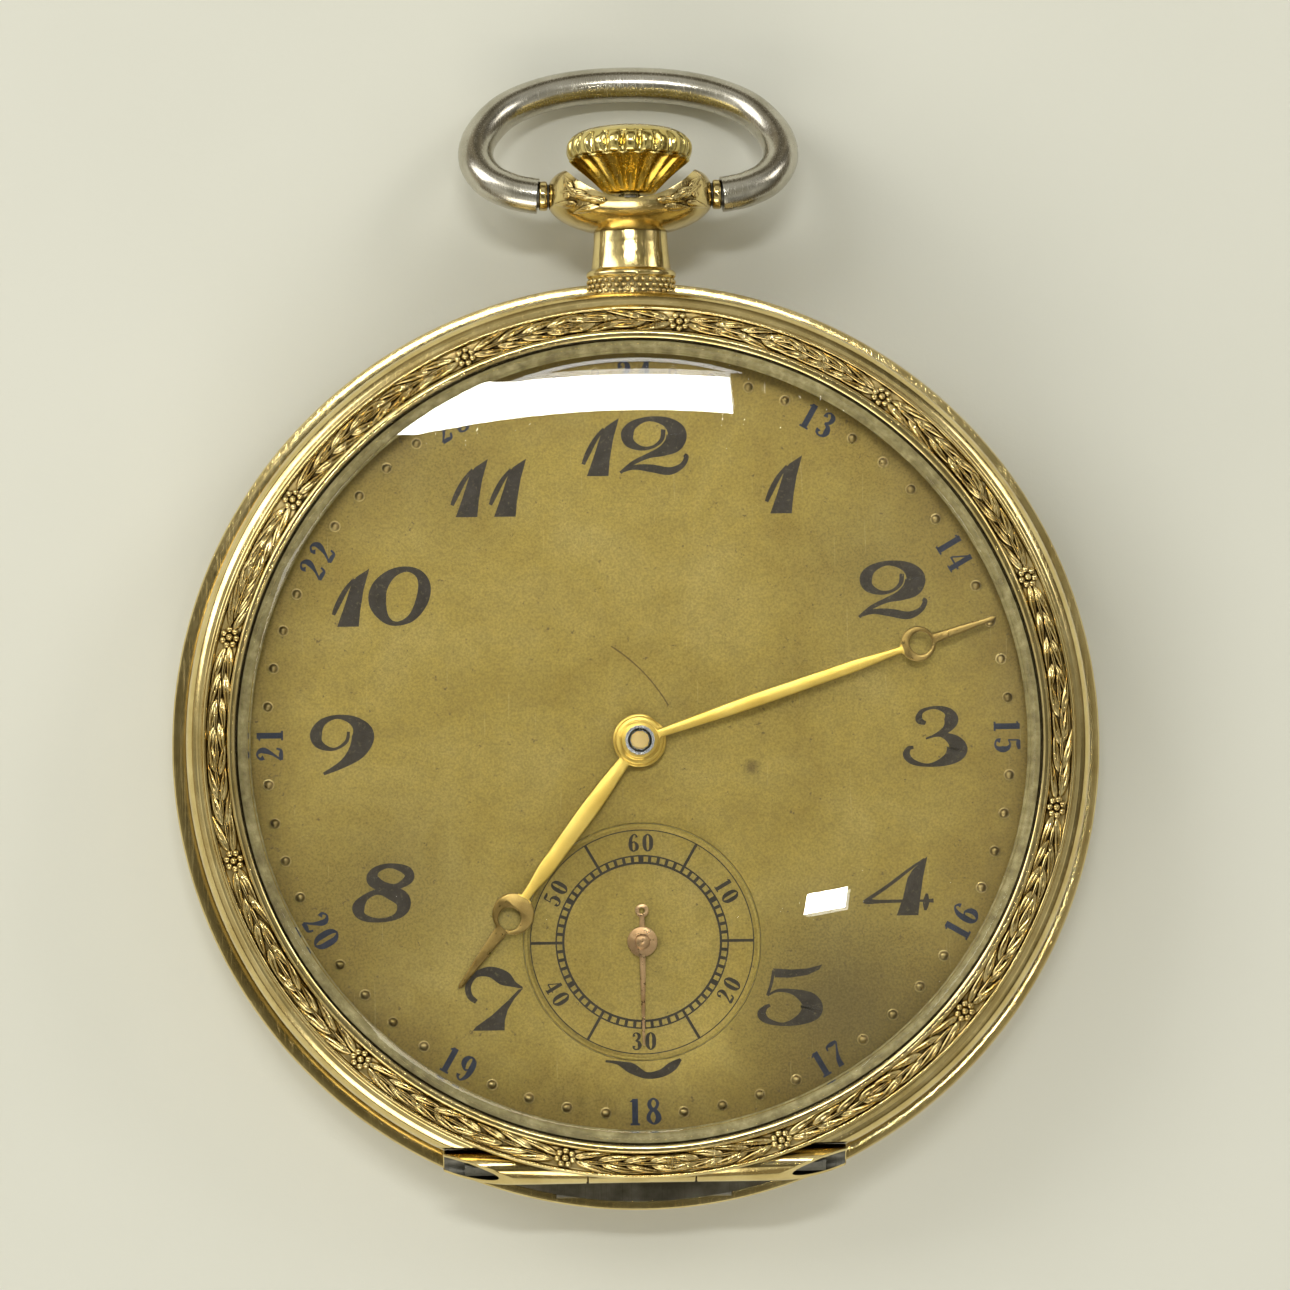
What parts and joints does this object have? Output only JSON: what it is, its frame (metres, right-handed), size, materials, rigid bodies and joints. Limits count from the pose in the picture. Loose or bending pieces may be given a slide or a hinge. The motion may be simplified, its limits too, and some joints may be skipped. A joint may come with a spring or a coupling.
{
  "type": "open face pocket watch",
  "caption": "Open-face pocket watch lying on its back: round polished case with hinged bezel and back, domed crystal, gilt dial, onion crown and folding bow, with its movement inside.",
  "frame": {"origin": "centre of the flat on the case back, which rests on the table", "axes": "+Z out of the dial, +Y towards 12 o'clock and the pendant, +X towards 3 o'clock"},
  "size_m": [0.0502, 0.0625, 0.0104],
  "materials": {
    "gold_case": "polished pale gold plate, lightly scratched",
    "silver_bow": "polished silver-white metal",
    "crown_gold": "polished rose gold plate",
    "crystal": "clear polished glass",
    "dial_gilt": "old matt gilding with stains",
    "hand_gilt": "polished gilt",
    "hand_copper": "dull copper colour",
    "nickel_plate": "striped nickel plate",
    "wheel_brass": "brushed brass",
    "steel": "polished steel",
    "blued_steel": "blued steel",
    "ruby": "polished synthetic ruby"
  },
  "bodies": {
    "case": {"case_band": "gold_case", "cuvette": "gold_case", "pendant": "gold_case", "dial": "dial_gilt", "seconds_dial": "dial_gilt", "main_plate": "nickel_plate", "barrel_bridge": "nickel_plate", "train_bridge": "nickel_plate", "balance_cock": "nickel_plate", "pallet_cock": "nickel_plate", "bezel_hinge_pin": "steel", "back_hinge_pin": "steel", "barrel_bridge_screw_1": "blued_steel", "barrel_bridge_screw_2": "blued_steel", "barrel_bridge_screw_3": "blued_steel", "train_bridge_screw_1": "blued_steel", "train_bridge_screw_2": "blued_steel", "balance_cock_screw": "blued_steel", "jewel_third": "ruby", "jewel_fourth": "ruby", "jewel_escape": "ruby", "jewel_balance": "ruby"},
    "bezel_frame": {"bezel": "gold_case", "crystal": "crystal"},
    "back": {"back_cover": "gold_case"},
    "bow_ring": {"bow": "silver_bow"},
    "stem_slide": {"stem_collar": "steel"},
    "crown_stem": {"crown": "crown_gold", "stem": "steel"},
    "clutch_body": {"clutch": "steel"},
    "winding_pinion_body": {"winding_pinion": "steel"},
    "crown_wheel_body": {"crown_wheel": "steel"},
    "ratchet_body": {"ratchet_wheel": "steel", "barrel_arbor": "steel"},
    "click_body": {"click": "steel"},
    "setting_lever_body": {"setting_lever": "steel"},
    "barrel_body": {"barrel": "wheel_brass", "barrel_cover": "wheel_brass", "mainspring": "steel"},
    "centre_body": {"centre_wheel": "wheel_brass"},
    "third_body": {"third_wheel": "wheel_brass"},
    "fourth_body": {"fourth_wheel": "wheel_brass", "seconds_hand": "hand_copper"},
    "escape_body": {"escape_wheel": "steel"},
    "pallet_body": {"pallet_fork": "steel"},
    "balance_body": {"balance_wheel": "wheel_brass", "hairspring": "blued_steel"},
    "regulator_body": {"regulator": "steel"},
    "minute_body": {"cannon_pinion": "steel", "minute_hand": "hand_gilt"},
    "hour_body": {"hour_wheel": "wheel_brass", "hour_hand": "hand_gilt"},
    "minute_wheel_body": {"minute_wheel": "wheel_brass"},
    "setting_wheel_body": {"setting_wheel": "steel"}
  },
  "joints": [
    {"name": "bezel_open", "type": "hinge", "parent": "case", "child": "bezel_frame", "pos_m": [0, -0.02255, 0.0072], "axis": [1, 0, 0], "range_deg": [0, 90]},
    {"name": "back_cover_open", "type": "hinge", "parent": "case", "child": "back", "pos_m": [0, -0.0242, 0.00398], "axis": [-1, 0, 0], "range_deg": [0, 85]},
    {"name": "bow_swing", "type": "hinge", "parent": "case", "child": "bow_ring", "pos_m": [0, 0.02965, 0.0055], "axis": [1, 0, 0], "range_deg": [-75, 150]},
    {"name": "crown_pull", "type": "slide", "parent": "case", "child": "stem_slide", "axis": [0, 1, 0], "range_m": [0, 0.0008]},
    {"name": "crown_turn", "type": "hinge", "parent": "stem_slide", "child": "crown_stem", "pos_m": [0, 0.031, 0.0055], "axis": [0, 1, 0], "continuous": true},
    {"name": "clutch_slide", "type": "slide", "parent": "crown_stem", "child": "clutch_body", "axis": [0, -1, 0], "range_m": [0, 0.0015]},
    {"name": "setting_lever_turn", "type": "hinge", "parent": "case", "child": "setting_lever_body", "pos_m": [0.0036, 0.0176, 0.0068], "axis": [0, 0, -1], "range_deg": [0, 20]},
    {"name": "winding_pinion_turn", "type": "hinge", "parent": "case", "child": "winding_pinion_body", "pos_m": [0, 0.0172, 0.0055], "axis": [0, 1, 0], "continuous": true},
    {"name": "crown_wheel_turn", "type": "hinge", "parent": "case", "child": "crown_wheel_body", "pos_m": [0, 0.012, 0.0025], "axis": [0, 0, -1], "continuous": true},
    {"name": "ratchet_turn", "type": "hinge", "parent": "case", "child": "ratchet_body", "pos_m": [-0.008, 0.0053, 0.0025], "axis": [0, 0, -1], "continuous": true},
    {"name": "click_lift", "type": "hinge", "parent": "case", "child": "click_body", "pos_m": [-0.0152, 0.0096, 0.0025], "axis": [0, 0, 1], "range_deg": [0, 12], "stiffness_Nm_per_rad": 0.00001, "springref_deg": -5.73},
    {"name": "seconds_turn", "type": "hinge", "parent": "case", "child": "fourth_body", "pos_m": [0, -0.0107, 0.005], "axis": [0, 0, -1], "continuous": true},
    {"name": "third_turn", "type": "hinge", "parent": "case", "child": "third_body", "pos_m": [0.00293, -0.00558, 0.005], "axis": [0, 0, -1], "continuous": true},
    {"name": "centre_turn", "type": "hinge", "parent": "case", "child": "centre_body", "pos_m": [0, 0, 0.005], "axis": [0, 0, -1], "continuous": true},
    {"name": "barrel_turn", "type": "hinge", "parent": "case", "child": "barrel_body", "pos_m": [-0.008, 0.0053, 0.005], "axis": [0, 0, -1], "continuous": true},
    {"name": "escape_turn", "type": "hinge", "parent": "case", "child": "escape_body", "pos_m": [0.00538, -0.01184, 0.005], "axis": [0, 0, -1], "continuous": true},
    {"name": "pallet_swing", "type": "hinge", "parent": "case", "child": "pallet_body", "pos_m": [0.0076, -0.0089, 0.005], "axis": [0, 0, -1], "range_deg": [-5, 5]},
    {"name": "balance_swing", "type": "hinge", "parent": "case", "child": "balance_body", "pos_m": [0.01042, -0.00363, 0.005], "axis": [0, 0, -1], "range_deg": [-270, 270]},
    {"name": "regulator_turn", "type": "hinge", "parent": "case", "child": "regulator_body", "pos_m": [0.01042, -0.00363, 0.002], "axis": [0, 0, -1], "range_deg": [-20, 20]},
    {"name": "minute_hand_turn", "type": "hinge", "parent": "case", "child": "minute_body", "pos_m": [0, 0, 0.007], "axis": [0, 0, -1], "continuous": true},
    {"name": "hour_hand_turn", "type": "hinge", "parent": "case", "child": "hour_body", "pos_m": [0, 0, 0.007], "axis": [0, 0, -1], "continuous": true},
    {"name": "minute_wheel_turn", "type": "hinge", "parent": "case", "child": "minute_wheel_body", "pos_m": [0, 0.004, 0.0064], "axis": [0, 0, -1], "continuous": true},
    {"name": "setting_wheel_turn", "type": "hinge", "parent": "case", "child": "setting_wheel_body", "pos_m": [0, 0.0102, 0.0064], "axis": [0, 0, -1], "continuous": true}
  ],
  "couplings": [
    {"joint": "clutch_slide", "follows": "crown_pull", "ratio": 1.875},
    {"joint": "setting_lever_turn", "follows": "crown_pull", "rad_per_m": 430},
    {"joint": "winding_pinion_turn", "follows": "crown_turn", "ratio": 1},
    {"joint": "crown_wheel_turn", "follows": "crown_turn", "ratio": -0.4375},
    {"joint": "ratchet_turn", "follows": "crown_turn", "ratio": 0.4},
    {"joint": "third_turn", "follows": "seconds_turn", "ratio": -0.13333},
    {"joint": "centre_turn", "follows": "seconds_turn", "ratio": 0.016667},
    {"joint": "barrel_turn", "follows": "seconds_turn", "ratio": -0.0027778},
    {"joint": "escape_turn", "follows": "seconds_turn", "ratio": -10},
    {"joint": "minute_wheel_turn", "follows": "minute_hand_turn", "ratio": -0.33333},
    {"joint": "hour_hand_turn", "follows": "minute_hand_turn", "ratio": 0.083333},
    {"joint": "setting_wheel_turn", "follows": "minute_hand_turn", "ratio": 0.30769}
  ]
}
